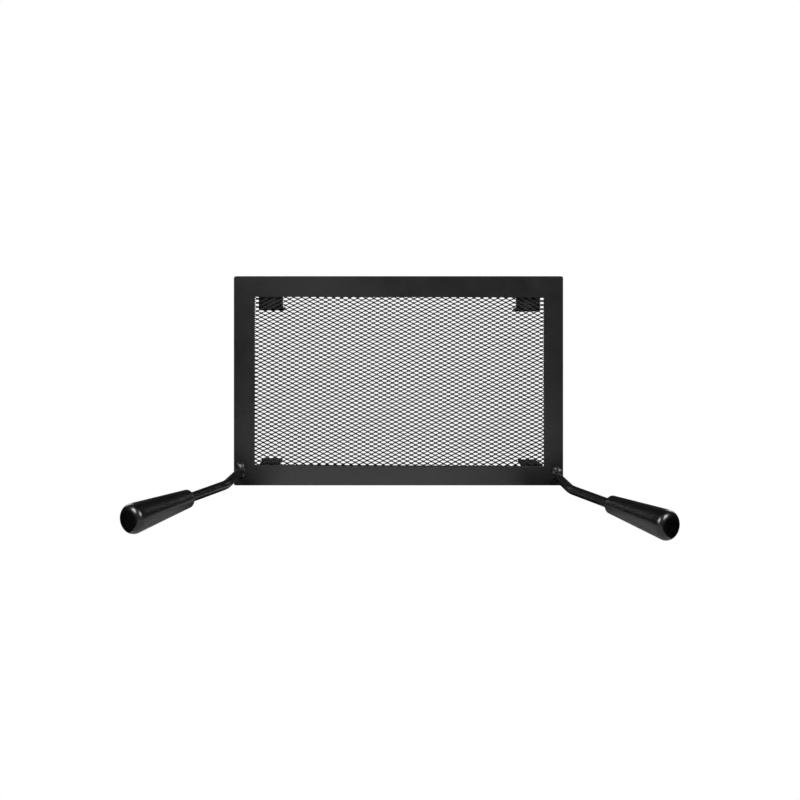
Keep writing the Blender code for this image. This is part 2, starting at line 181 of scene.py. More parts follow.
class ShaderGroup:
    """A reusable node group with named inputs and outputs."""

    def __init__(self, name: str, inputs: dict[str, float], outputs: Sequence[str]) -> None:
        """Make the group's sockets.

        Args:
            name: The group's name.
            inputs: Each input's name and its default value.
            outputs: The outputs' names.
        """
        self.tree = bpy.data.node_groups.new(name, "ShaderNodeTree")
        for label, default in inputs.items():
            socket = self.tree.interface.new_socket(label, in_out="INPUT", socket_type="NodeSocketFloat")
            socket.default_value = default
        for label in outputs:
            self.tree.interface.new_socket(label, in_out="OUTPUT", socket_type="NodeSocketFloat")
        self.graph = Graph(self.tree)
        self.given = self.graph.add("NodeGroupInput").outputs
        self.place = self.graph.add("ShaderNodeTexCoord").outputs["Object"]

    def close(self, results: dict[str, bpy.types.NodeSocket]) -> bpy.types.NodeTree:
        """Link the results to the group's outputs and return its tree."""
        self.graph.add("NodeGroupOutput", results)
        return self.tree


class Effects:
    """The effects that the finishes share, each built once as a shader group."""

    def __init__(self) -> None:
        """Build the groups."""
        self.skin = self._skin()
        self.edge_rub = self._edge_rub()
        self.dust = self._dust()

    @staticmethod
    def _skin() -> bpy.types.NodeTree:
        """Return the group for a sprayed or moulded skin: slow tone drift, roughness patches and a fine peel.

        Returns:
            A group with the outputs Tone, Roughness and Height.
        """
        inputs = {
            "Peel Scale": 900.0, "Drift Scale": 9.0, "Tone Low": 0.85, "Tone High": 1.15,
            "Rough Low": 0.35, "Rough High": 0.45,
        }
        group = ShaderGroup("painted_skin", inputs, ("Tone", "Roughness", "Height"))
        graph, given = group.graph, group.given
        drift = graph.noise(group.place, given["Drift Scale"], 3.0)
        patch = graph.noise(group.place, graph.math("MULTIPLY", given["Drift Scale"], 4.5), 4.0)
        peel = graph.noise(group.place, given["Peel Scale"], 1.5)
        speck = graph.noise(group.place, graph.math("MULTIPLY", given["Peel Scale"], 3.7), 1.0)
        return group.close({
            "Tone": graph.remap(drift, (0.3, 0.7), (given["Tone Low"], given["Tone High"])),
            "Roughness": graph.remap(patch, (0.3, 0.7), (given["Rough Low"], given["Rough High"])),
            "Height": graph.math("ADD", peel, graph.math("MULTIPLY", speck, 0.35)),
        })

    @staticmethod
    def _edge_rub() -> bpy.types.NodeTree:
        """Return the group for rubbed edges: a mask that is 1 on worn convex edges and 0 elsewhere.

        Returns:
            A group with the output Mask.
        """
        group = ShaderGroup("edge_rub", {"Start": 0.53, "Full": 0.6, "Patch Scale": 60.0}, ("Mask",))
        graph, given = group.graph, group.given
        pointed = graph.add("ShaderNodeNewGeometry").outputs["Pointiness"]
        edge = graph.remap(pointed, (given["Start"], given["Full"]), (0.0, 1.0))
        worn = graph.remap(graph.noise(group.place, given["Patch Scale"], 3.0), (0.45, 0.65), (0.0, 1.0))
        return group.close({"Mask": graph.math("MULTIPLY", edge, worn)})

    @staticmethod
    def _dust() -> bpy.types.NodeTree:
        """Return the group for settled dust: a mask on faces that look up, broken by noise.

        Returns:
            A group with the input Amount and the output Mask.
        """
        group = ShaderGroup("settled_dust", {"Amount": 0.2, "Patch Scale": 140.0}, ("Mask",))
        graph, given = group.graph, group.given
        normal = graph.add("ShaderNodeTexCoord").outputs["Normal"]
        facing = graph.remap(graph.add("ShaderNodeSeparateXYZ", {0: normal}).outputs["Z"], (0.2, 1.0), (0.0, 1.0))
        patch = graph.noise(group.place, given["Patch Scale"], 5.0)
        cover = graph.math("MULTIPLY", facing, patch)
        return group.close({"Mask": graph.math("MULTIPLY", cover, given["Amount"])})


# Finishes


@dataclass(frozen=True)
class Finish:
    """A finish for one material slot: a skin over a base colour, paler on rubbed edges and under dust."""

    slot: Slot
    base: Colour
    roughness: tuple[float, float]
    tone: tuple[float, float] = (0.85, 1.15)
    rubbed: Colour = (0.05, 0.05, 0.052)
    dusty: Colour = (0.12, 0.115, 0.11)
    drift_scale: float = 9.0
    peel_scale: float = 900.0
    peel_depth: float = 0.006 * MM
    metallic: float = 0.0
    specular: float = 0.5
    dust: float = 0.02
    rub: float = 0.4

    def material(self, effects: Effects) -> bpy.types.Material:
        """Return the finish as a material.

        Args:
            effects: The shared shader groups.

        Returns:
            A material whose Principled BSDF is driven by the groups.
        """
        material = bpy.data.materials.new(self.slot.value)
        material.use_nodes = True
        material.diffuse_color = (*self.base, 1.0)
        graph = Graph(material.node_tree)
        shader = material.node_tree.nodes["Principled BSDF"]
        skin = graph.use(effects.skin, {
            "Peel Scale": self.peel_scale, "Drift Scale": self.drift_scale,
            "Tone Low": self.tone[0], "Tone High": self.tone[1],
            "Rough Low": self.roughness[0], "Rough High": self.roughness[1],
        })
        rub = graph.math("MULTIPLY", graph.use(effects.edge_rub, {})["Mask"], self.rub)
        dust = graph.use(effects.dust, {"Amount": self.dust})["Mask"]
        toned = graph.add("ShaderNodeVectorMath", {0: self.base, "Scale": skin["Tone"]}, operation="SCALE")
        worn = graph.mix(rub, toned.outputs[0], self.rubbed)
        graph.feed(shader.inputs["Base Color"], graph.mix(dust, worn, self.dusty))
        rough = graph.math("ADD", skin["Roughness"], graph.math("MULTIPLY", dust, 0.4))
        graph.feed(shader.inputs["Roughness"], rough)
        bump = graph.add("ShaderNodeBump", {"Distance": self.peel_depth, "Height": skin["Height"]})
        graph.feed(shader.inputs["Normal"], bump.outputs[0])
        shader.inputs["Metallic"].default_value = self.metallic
        shader.inputs["Specular IOR Level"].default_value = self.specular
        return material


FRAME_PAINT = Finish(Slot.FRAME, (0.003, 0.003, 0.003), (0.28, 0.34))
# Painted shade: the guide and rest tabs take a darker copy of the frame's black paint, with a much weaker sheen, so
# that they read as shaded behind the bars and the mesh.
BRACKET_PAINT_SHADED = Finish(Slot.BRACKET, (0.002, 0.002, 0.002), (0.3, 0.4), specular=0.08)
ROD_PAINT = Finish(Slot.ROD, (0.001, 0.001, 0.001), (0.27, 0.34))
MESH_PAINT = Finish(Slot.MESH, (0.003, 0.003, 0.003), (0.4, 0.5), peel_depth=0.01 * MM, specular=0.38)
WELD_PAINT = Finish(Slot.WELD, (0.006, 0.006, 0.006), (0.32, 0.4), peel_scale=500.0, rub=0.2)
GRIP_BLACK = Finish(Slot.GRIP, (0.001, 0.001, 0.001), (0.26, 0.33), peel_scale=420.0)
INSERT_BRASS = Finish(
    Slot.INSERT, (0.62, 0.45, 0.19), (0.25, 0.4), metallic=1.0, rubbed=(0.8, 0.62, 0.3), dust=0.0,
)


# Mesh building


class Shell:
    """The points and faces of one closed piece."""

    def __init__(self) -> None:
        """Start with nothing."""
        self.points: list[Vector] = []
        self.faces: list[tuple[int, ...]] = []

    def ring(self, points: Sequence[Vector]) -> list[int]:
        """Add points and return their numbers.

        Args:
            points: The points to add.

        Returns:
            The points' numbers in the shell, in the same order.
        """
        first = len(self.points)
        self.points.extend(points)
        return list(range(first, len(self.points)))

    def skin(self, near: Sequence[int], far: Sequence[int]) -> None:
        """Join two closed rings of the same count with quads.

        Args:
            near: One ring's point numbers.
            far: The other ring's point numbers, as many as near's.
        """
        for i in range(len(near)):
            after = (i + 1) % len(near)
            self.faces.append((near[i], near[after], far[after], far[i]))

    def cap(self, ring: Sequence[int]) -> None:
        """Close a ring with one face."""
        self.faces.append(tuple(ring))

    def tube(self, rings: Sequence[Sequence[Vector]]) -> None:
        """Add a tube through rings of points, closed at both ends.

        Args:
            rings: The rings from one end to the other, all of one count.
        """
        numbered = [self.ring(points) for points in rings]
        for near, far in zip(numbered, numbered[1:]):
            self.skin(near, far)
        self.cap(numbered[0])
        self.cap(numbered[-1])

    def hoop(self, rings: Sequence[Sequence[Vector]]) -> None:
        """Add a tube through rings of points that closes on itself.

        Args:
            rings: The rings in order round the hoop, all of one count.
        """
        numbered = [self.ring(points) for points in rings]
        for near, far in zip(numbered, numbered[1:] + numbered[:1]):
            self.skin(near, far)

    def object(self, name: str, smooth_angle: float) -> bpy.types.Object:
        """Return the shell as an object.

        Args:
            name: The piece's name.
            smooth_angle: Edges sharper than this many degrees stay crisp.

        Returns:
            A mesh object with its faces pointing out.
        """
        mesh = bpy.data.meshes.new(name)
        mesh.from_pydata([tuple(point) for point in self.points], [], self.faces)
        shape = bmesh.new()
        shape.from_mesh(mesh)
        bmesh.ops.remove_doubles(shape, verts=shape.verts, dist=0.001 * MM)
        bmesh.ops.recalc_face_normals(shape, faces=shape.faces)
        shape.to_mesh(mesh)
        shape.free()
        mesh.shade_smooth()
        mesh.set_sharp_from_angle(angle=math.radians(smooth_angle))
        piece = bpy.data.objects.new(name, mesh)
        bpy.context.scene.collection.objects.link(piece)
        return piece


class Workshop:
    """Turns shells into finished pieces that ride on the frame."""

    def __init__(self) -> None:
        """Build the shared effects. Materials are made when a piece first needs them."""
        self.effects = Effects()
        self.materials: dict[Slot, bpy.types.Material] = {}

    def material(self, finish: Finish) -> bpy.types.Material:
        """Return the finish's material, made on first use.

        Args:
            finish: The finish to make.

        Returns:
            Its material, the same one on every call.
        """
        if finish.slot not in self.materials:
            self.materials[finish.slot] = finish.material(self.effects)
        return self.materials[finish.slot]

    def piece(
        self, shell: Shell, name: str, finish: Finish, stands_for: str,
        smooth_angle: float = 40.0, weigh_normals: bool = False,
    ) -> bpy.types.Object:
        """Make a shell into a piece of the screen.

        Args:
            shell: The piece's points and faces.
            name: The piece's name.
            finish: Its finish.
            stands_for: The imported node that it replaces.
            smooth_angle: Edges sharper than this many degrees stay crisp.
            weigh_normals: Keep large flat faces flat beside small rounds.

        Returns:
            The finished piece.
        """
        made = shell.object(name, smooth_angle)
        if weigh_normals:
            weigh = made.modifiers.new("flat_faces", "WEIGHTED_NORMAL")
            weigh.keep_sharp = True
        made.data.materials.append(self.material(finish))
        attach(made, ROOT_BODY)
        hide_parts(stands_for)
        LOG.info("%s stands for %s", name, stands_for)
        return made

    def dress(self, node: str, finish: Finish) -> None:
        """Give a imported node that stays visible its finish.

        Args:
            node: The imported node's name.
            finish: The finish that it takes.
        """
        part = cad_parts[node]
        part.data.materials.clear()
        part.data.materials.append(self.material(finish))
        LOG.info("%s keeps its packed shape", node)


def arc(first: float, last: float, steps: int) -> list[float]:
    """Return angles in radians from first to last, which are in degrees."""
    return [math.radians(first + (last - first) * k / steps) for k in range(steps + 1)]


def round_corner(corner: Vector, before: Vector, after: Vector, radius: float, steps: int) -> list[Vector]:
    """Return the arc of a radius that rounds the corner of a polyline.

    Args:
        corner: The corner.
        before: A point on the line into the corner.
        after: A point on the line out of it.
        radius: The arc's radius.
        steps: How many stretches the arc has.

    Returns:
        The arc's points, from the line into the corner to the line out of it.
    """
    into = (before - corner).normalized()
    away = (after - corner).normalized()
    half = into.angle(away) / 2
    centre = corner + (into + away).normalized() * radius / math.sin(half)
    start = corner + into * radius / math.tan(half) - centre
    stop = corner + away * radius / math.tan(half) - centre
    turn = start.angle(stop)
    points = []
    for k in range(steps + 1):
        share = k / steps
        mixed = math.sin((1 - share) * turn) * start + math.sin(share * turn) * stop
        points.append(centre + mixed / math.sin(turn))
    return points


# The frame's bars


@dataclass
class FrameBars:
    """Four flat bars, mitred, welded and ground flush, so the joints don't show on the painted front."""

    outer_corner: float = 3 * MM
    inner_corner: float = 0.8 * MM
    edge_round: float = 0.7 * MM
    corner_steps: int = 5
    edge_steps: int = 3
    length_steps: int = 24

    def __post_init__(self) -> None:
        """Read the bars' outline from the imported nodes."""
        left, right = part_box("left_stile"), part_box("right_stile")
        top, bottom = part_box("top_rail"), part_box("bottom_rail")
        self.outer_x = {-1: left[0].x, 1: right[1].x}
        self.outer_z = {-1: bottom[0].z, 1: top[1].z}
        self.front = top[0].y
        self.back = top[1].y
        self.inner: dict[tuple[int, int], Vector] = {}
        for end in End:
            points = [vertex.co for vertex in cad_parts[f"{end.label}_rail"].data.vertices]
            for side in Side:
                near = [point for point in points if point.x * side.value > 0]
                self.inner[side.value, end.value] = min(near, key=lambda point: point.z * end.value)

    def _edge_points(self, corner: tuple[int, int], angle: float, inset: float) -> tuple[Vector, Vector]:
        """Return the outer and inner outline points of a corner at an angle, moved into the bar by inset.

        Args:
            corner: The signs of the corner along X and Z.
            angle: The direction from the corner's centre, in radians.
            inset: How far both points move into the bar.

        Returns:
            The outer and the inner point.
        """
        sx, sz = corner
        away = Vector((math.cos(angle), 0, math.sin(angle)))
        outer_centre = Vector((self.outer_x[sx] - sx * self.outer_corner, 0, self.outer_z[sz] - sz * self.outer_corner))
        inner = self.inner[corner]
        inner_centre = Vector((inner.x - sx * self.inner_corner, 0, inner.z - sz * self.inner_corner))
        return outer_centre + away * (self.outer_corner - inset), inner_centre + away * (self.inner_corner + inset)

    def _section(self, place: Callable[[float], tuple[Vector, Vector]]) -> list[Vector]:
        """Return one closed cross-section.

        Args:
            place: Gives the outer and the inner point of the section for an inset.

        Returns:
            The section's points, with all four long edges rounded.
        """
        radius = self.edge_round
        quarter = arc(0, 90, self.edge_steps)
        points = []
        for which, angles, face in ((0, quarter, self.front), (0, quarter[::-1], self.back),
                                    (1, quarter, self.back), (1, quarter[::-1], self.front)):
            inward = radius if face == self.front else -radius
            for angle in angles:
                point = place(radius * (1 - math.sin(angle)))[which]
                points.append(point + BACK * (face + inward * (1 - math.cos(angle))))
        return points

    def _bar(self, first: tuple[int, int], last: tuple[int, int], angles: tuple[float, float, float]) -> Shell:
        """Build one bar from mitre to mitre.

        Args:
            first: The signs of the corner where the bar begins.
            last: The signs of the corner where it ends.
            angles: The first mitre's angle, the bar's outward angle and the last mitre's angle, in degrees.

        Returns:
            The bar's shell.
        """
        start, square, stop = angles
        sections = []
        for angle in arc(start, square, self.corner_steps):
            sections.append(self._section(lambda inset, a=angle: self._edge_points(first, a, inset)))
        flat = math.radians(square)
        for k in range(1, self.length_steps):
            share = k / self.length_steps

            def between(inset: float, share: float = share) -> tuple[Vector, Vector]:
                """Return the outline points of a section between the bar's two corners.

                Args:
                    inset: How far both points move into the bar.
                    share: How far along the bar the section lies, from 0 to 1.

                Returns:
                    The outer and the inner point.
                """
                near = self._edge_points(first, flat, inset)
                far = self._edge_points(last, flat, inset)
                return near[0].lerp(far[0], share), near[1].lerp(far[1], share)

            sections.append(self._section(between))
        for angle in arc(square, stop, self.corner_steps):
            sections.append(self._section(lambda inset, a=angle: self._edge_points(last, a, inset)))
        shell = Shell()
        shell.tube(sections)
        return shell

    def build(self, shop: Workshop) -> None:
        """Build the four bars.

        Args:
            shop: The workshop that takes the pieces.
        """
        bars = {
            ("rail_top", "top_rail"): ((-1, 1), (1, 1), (135, 90, 45)),
            ("stile_right", "right_stile"): ((1, 1), (1, -1), (45, 0, -45)),
            ("rail_bottom", "bottom_rail"): ((1, -1), (-1, -1), (-45, -90, -135)),
            ("stile_left", "left_stile"): ((-1, -1), (-1, 1), (-135, -180, -225)),
        }
        for (name, node), (first, last, angles) in bars.items():
            shop.piece(self._bar(first, last, angles), name, FRAME_PAINT, node, weigh_normals=True)


# The mesh panel


@dataclass
class ExpandedMetal:
    """A sheet slit and stretched into small openings, its strands tilted, set slightly askew in the frame."""

    long_way: float = 11.99 * MM
    short_way: float = 6.14 * MM
    half_opening: tuple[float, float] = (4.25 * MM, 1.58 * MM)
    sheet: float = 1.3 * MM
    skew: float = math.radians(0.87)
    wander: float = 0.22 * MM
    wander_size: float = 45 * MM
    phase: tuple[float, float] = (3.085 * MM, -0.889 * MM)

    def _opening(self) -> list[tuple[float, float]]:
        """Return the outline of an opening, as quarter by quarter points of a softened hexagon.

        Returns:
            Points as (x, z) from the opening's centre.
        """
        wide, tall = self.half_opening
        quarter = [(wide, 0.0), (0.75 * wide, 0.42 * tall), (0.25 * wide, 0.97 * tall)]
        upper = quarter + [(0.0, tall)] + [(-x, z) for x, z in quarter[:0:-1]]
        return upper + [(-x, -z) for x, z in upper]

    def _cell(self) -> list[tuple[float, float]]:
        """Return the diamond that holds one opening, with as many points as the opening.

        Returns:
            Points as (x, z) from the cell's centre.
        """
        wide, tall = self.long_way / 2, self.short_way / 2
        corners = [(wide, 0.0), (0.0, tall), (-wide, 0.0), (0.0, -tall), (wide, 0.0)]
        points = []
        for (x0, z0), (x1, z1) in zip(corners, corners[1:]):
            points += [(x0 + (x1 - x0) * k / 3, z0 + (z1 - z0) * k / 3) for k in range(3)]
        return points

    def build(self, shop: Workshop) -> None:
        """Build the panel, cell by cell, with its sheared edge left as whole cells.

        Args:
            shop: The workshop that takes the pieces.
        """
        low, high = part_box("mesh_panel")
        centre = (low + high) / 2
        tilt = (high.y - low.y - self.sheet) / 2
        half_x, half_z = self.long_way / 2, self.short_way / 2
        columns = int((high.x - low.x) / self.long_way)
        rows = int((high.z - low.z) / self.short_way)
        turn = Matrix.Rotation(self.skew, 3, "Y")
        reach_x = (high.x - low.x) / 2 - half_x
        reach_z = (high.z - low.z) / 2 - half_z
        shell = Shell()
        known: dict[tuple[int, int, int], tuple[int, int]] = {}
        walls: dict[tuple[int, int], int] = {}

        def pair(x: float, z: float, lean: float) -> tuple[int, int]:
            """Return the numbers of the front and the back point at a place on the flat sheet.

            Args:
                x: The place across the sheet.
                z: The place up the sheet.
                lean: How far the strand leans there, as a share of the sheet's full lean.

            Returns:
                The two points' numbers.
            """
            key = (round(x / MM * 200), round(z / MM * 200), round(lean * 8))
            if key not in known:
                drift = noise.noise(Vector((x, z, 0)) / self.wander_size) * self.wander
                spot = turn @ Vector((x, 0, z + drift)) + centre
                spot.y += lean * tilt
                known[key] = tuple(shell.ring([spot - BACK * self.sheet / 2, spot + BACK * self.sheet / 2]))
            return known[key]

        opening, cell = self._opening(), self._cell()
        for column in range(-2 * columns, 2 * columns + 1):
            for row in range(-2 * rows, 2 * rows + 1):
                x = column * half_x + self.phase[0]
                z = row * half_z + self.phase[1]
                if (column + row) % 2 or abs(x) > reach_x or abs(z) > reach_z:
                    continue
                inner = [pair(x + px, z + pz, pz / self.half_opening[1]) for px, pz in opening]
                outer = [pair(x + px, z + pz, 0.0) for px, pz in cell]
                for k in range(len(opening)):
                    after = (k + 1) % len(opening)
                    shell.faces.append((outer[k][0], outer[after][0], inner[after][0], inner[k][0]))
                    shell.faces.append((outer[k][1], inner[k][1], inner[after][1], outer[after][1]))
                    shell.faces.append((inner[k][0], inner[after][0], inner[after][1], inner[k][1]))
                    edge = (outer[k][0], outer[after][0])
                    walls[edge] = walls.get(edge, 0) + 1
        for first, second in walls:
            if (second, first) not in walls:
                shell.faces.append((first, first + 1, second + 1, second))
        shop.piece(shell, "expanded_metal", MESH_PAINT, "mesh_panel", smooth_angle=28.0)


# Guide tabs and rest tabs


@dataclass
class Tabs:
    """The two guide tabs at the top and the two rest tabs at the bottom, bent from strip with softened edges."""

    thickness: float = 3 * MM
    bend: float = 3 * MM
    edge_round: float = 0.45 * MM
    bend_steps: int = 8

    def _outline(self, path: Sequence[Vector], inset: float) -> list[Vector]:
        """Return the closed side view of a strip along a path, made smaller all round by inset.

        Args:
            path: The strip's middle line, as corner points.
            inset: How much smaller the outline is all round.

        Returns:
            The outline's points, in order round it.
        """
        middle = [path[0] + (path[1] - path[0]).normalized() * inset]
        for before, corner, after in zip(path, path[1:], path[2:]):
            middle += round_corner(corner, before, after, self.bend, self.bend_steps)
        middle.append(path[-1] + (path[-2] - path[-1]).normalized() * inset)
        sides: tuple[list[Vector], list[Vector]] = ([], [])
        for i, point in enumerate(middle):
            along = middle[min(i + 1, len(middle) - 1)] - middle[max(i - 1, 0)]
            across = Vector((0, -along.z, along.y)).normalized() * (self.thickness / 2 - inset)
            sides[0].append(point + across)
            sides[1].append(point - across)
        return sides[0] + sides[1][::-1]

    def _strip(self, node: str, side: Side, path: Sequence[Vector]) -> Shell:
        """Return a strip that follows a path, as wide as a packed tab and narrowing behind the bars like it.

        Args:
            node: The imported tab's name.
            side: The side of the screen that it is on.
            path: The strip's middle line, as corner points.

        Returns:
            The strip as a closed shell.
        """
        low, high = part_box(node)
        taper = self._taper(node, side)
        rings = []
        for end_x, turn in ((low.x, 1), (high.x, -1)):
            outer = turn == -side.value
            for angle in arc(0, 90, 3)[::turn]:
                inset, step = self.edge_round * (1 - math.sin(angle)), self.edge_round * (1 - math.cos(angle))
                ring = [point + RIGHT * (end_x + turn * step) for point in self._outline(path, inset)]
                if outer:
                    ring = [point - RIGHT * side.value * taper * (point.y - low.y) for point in ring]
                rings.append(ring)
        shell = Shell()
        shell.tube(rings)
        return shell

    @staticmethod
    def _taper(node: str, side: Side) -> float:
        """Return how far a packed tab's outer edge runs in, for each length behind the bars.

        Args:
            node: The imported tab's name.
            side: The side of the screen that it is on.

        Returns:
            The taper as a share of the length, 0 for a straight edge.
        """
        low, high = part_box(node)
        points = [vertex.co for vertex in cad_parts[node].data.vertices]
        rear = max(point.x * side.value for point in points if high.y - point.y < 0.1 * MM)
        widest = max(point.x * side.value for point in points)
        return (widest - rear) / (high.y - low.y)

    def build(self, shop: Workshop) -> None:
        """Build the four tabs.

        Args:
            shop: The workshop that takes the pieces.
        """
        half = self.thickness / 2
        for side in Side:
            for end, kind in ((End.TOP, "guide_tab"), (End.BOTTOM, "rest_tab")):
                node = f"{end.label}_{side.label}_{kind}"
                low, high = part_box(node)
                start_z, plate_z = (high.z, low.z + half) if end is End.TOP else (low.z, high.z - half)
                path = [
                    Vector((0, low.y + half, start_z)),
                    Vector((0, low.y + half, plate_z)),
                    Vector((0, high.y, plate_z)),
                ]
                strip = self._strip(node, side, path)
                shop.piece(strip, f"{kind}_{side.label}", BRACKET_PAINT_SHADED, node, weigh_normals=True)


# Handles


@dataclass
class Handle:
    """One handle: a bent rod welded to the frame, with a tapered grip screwed on its end."""

    side: Side
    second_length: float
    rod_radius: float = 6.35 * MM
    first_length: float = 73.5 * MM
    first_splay: float = math.radians(5.2)
    second_splay: float = math.radians(28.6)
    bend_radius: float = 40 * MM
    stud_radius: float = 4 * MM
    stud_length: float = 42 * MM
    thread_pitch: float = 1.5 * MM
    thread_depth: float = 0.5 * MM
    grip_length: float = 107.2 * MM
    neck_radius: float = 12.2 * MM
    neck_round: float = 2.5 * MM
    end_radius: float = 18.8 * MM
    end_round: float = 9 * MM
    bore_depth: float = 46 * MM
    bore_clearance: float = 0.3 * MM
    rod_segments: int = 48
    grip_segments: int = 96

    def __post_init__(self) -> None:
        """Place the handle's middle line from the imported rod."""
        low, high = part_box(f"{self.side.label}_handle_rod")
        sign = self.side.value
        inner_x = high.x if sign < 0 else low.x
        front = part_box("bottom_rail")[0].y
        self.foot = Vector((inner_x + sign * self.rod_radius, front, (low.z + high.z) / 2))
        self.first = self._level(sign * self.first_splay)
        self.second = self._level(sign * self.second_splay)
        gap = front - high.y
        self.corner = self.foot + self.first * (self.first_length + gap)
        self.neck = self.corner + self.second * self.second_length

    @staticmethod
    def _level(splay: float) -> Vector:
        """Return the level direction that leaves the frame's front at the splay angle."""
        return Vector((math.sin(splay), -math.cos(splay), 0))

    def _circle(self, centre: Vector, along: Vector, radius: float) -> list[Vector]:
        """Return a circle of the rod's points, square to its run.

        Args:
            centre: The circle's centre.
            along: The direction of the run there.
            radius: The circle's radius.

        Returns:
            The circle's points, in order round it.
        """
        level = along.cross(UP).normalized()
        turns = [2 * math.pi * k / self.rod_segments for k in range(self.rod_segments)]
        return [centre + radius * (math.cos(a) * level + math.sin(a) * UP) for a in turns]

    def _rod(self) -> Shell:
        """Return the rod: its foot cut flat on the frame, the bend, the run to the grip and the threaded stud.

        Returns:
            The rod as a closed shell.
        """
        line = round_corner(self.corner, self.foot, self.neck, self.bend_radius, 16)
        rings = [self._circle(self.foot, self.first, self.rod_radius)]
        rings[0] = [Vector((p.x, self.foot.y, p.z)) for p in rings[0]]
        for k in range(1, 4):
            rings.append(self._circle(self.foot.lerp(line[0], k / 4), self.first, self.rod_radius))
        for i, point in enumerate(line):
            along = self.first.lerp(self.second, i / (len(line) - 1))
            rings.append(self._circle(point, along.normalized(), self.rod_radius))
        for k in range(1, 7):
            rings.append(self._circle(line[-1].lerp(self.neck, k / 6), self.second, self.rod_radius))
        turns = int(self.stud_length / self.thread_pitch)
        for k in range(2 * turns + 1):
            radius = self.stud_radius - (self.thread_depth if k % 2 == 0 else 0.0)
            centre = self.neck + self.second * k * self.thread_pitch / 2
            rings.append(self._circle(centre, self.second, radius))
        shell = Shell()
        shell.tube(rings)
        return shell

    def _turned(self, profile: Sequence[tuple[float, float]], segments: int) -> Shell:
        """Return a closed profile of (radius, height) points turned round the grip's axis.

        A point on the axis has a radius of nearly nothing, and its ring is merged into one point.

        Args:
            profile: Points as (radius, height), in order round the section.
            segments: How many steps the turn has.

        Returns:
            The turned body as a closed shell.
        """
        level = self.second.cross(UP).normalized()
        rings = []
        for k in range(segments):
            angle = 2 * math.pi * k / segments
            out = math.cos(angle) * level + math.sin(angle) * UP
            rings.append([self.neck + out * radius + self.second * height for radius, height in profile])
        shell = Shell()
        shell.hoop(rings)
        return shell

    def _grip(self) -> Shell:
        """Return the grip: a short round at its neck, a straight taper, a full round at its end and a blind bore.

        Returns:
            The grip as a closed shell.
        """
        neck_centre = self.neck_radius - self.neck_round
        neck = [(neck_centre + self.neck_round * math.cos(a), self.neck_round * (1 + math.sin(a)))
                for a in arc(-90, 0, 6)]
        end_centre = self.end_radius - self.end_round
        end_height = self.grip_length - self.end_round
        end = [(end_centre + self.end_round * math.cos(a), end_height + self.end_round * math.sin(a))
               for a in arc(0, 90, 12)]
        taper = [(self.neck_radius + (self.end_radius - self.neck_radius) * k / 12,
                  self.neck_round + (end_height - self.neck_round) * k / 12) for k in range(1, 12)]
        insert_low, insert_high = self._insert_span()
        bore = self.stud_radius + self.bore_clearance
        pocket = self._insert_radius() + self.bore_clearance
        profile = neck + taper + end + [
            (end_centre * 0.5, self.grip_length), (0.0, self.grip_length), (0.0, self.bore_depth),
            (bore, self.bore_depth), (bore, insert_high + self.bore_clearance),
            (pocket, insert_high + self.bore_clearance), (pocket, 0.0),
        ]
        return self._turned(profile, self.grip_segments)

    def _insert_span(self) -> tuple[float, float]:
        """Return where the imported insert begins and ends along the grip's axis.

        Returns:
            The lowest and the highest place, measured from the grip's neck.
        """
        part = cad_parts[f"{self.side.label}_grip_insert"]
        heights = [(vertex.co - self.neck).dot(self.second) for vertex in part.data.vertices]
        return min(heights), max(heights)

    def _insert_radius(self) -> float:
        """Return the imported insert's outer radius.

        Returns:
            The largest distance of the insert from the grip's axis.
        """
        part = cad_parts[f"{self.side.label}_grip_insert"]
        offsets = [vertex.co - self.neck for vertex in part.data.vertices]
        return max((offset - self.second * offset.dot(self.second)).length for offset in offsets)

    def build(self, shop: Workshop) -> None:
        """Build the rod and the grip, and dress the insert inside it.

        Args:
            shop: The workshop that takes the pieces.
        """
        label = self.side.label
        shop.piece(self._rod(), f"rod_{label}", ROD_PAINT, f"{label}_handle_rod")
        shop.piece(self._grip(), f"grip_{label}", GRIP_BLACK, f"{label}_grip", smooth_angle=35.0)
        shop.dress(f"{label}_grip_insert", INSERT_BRASS)


# Welds


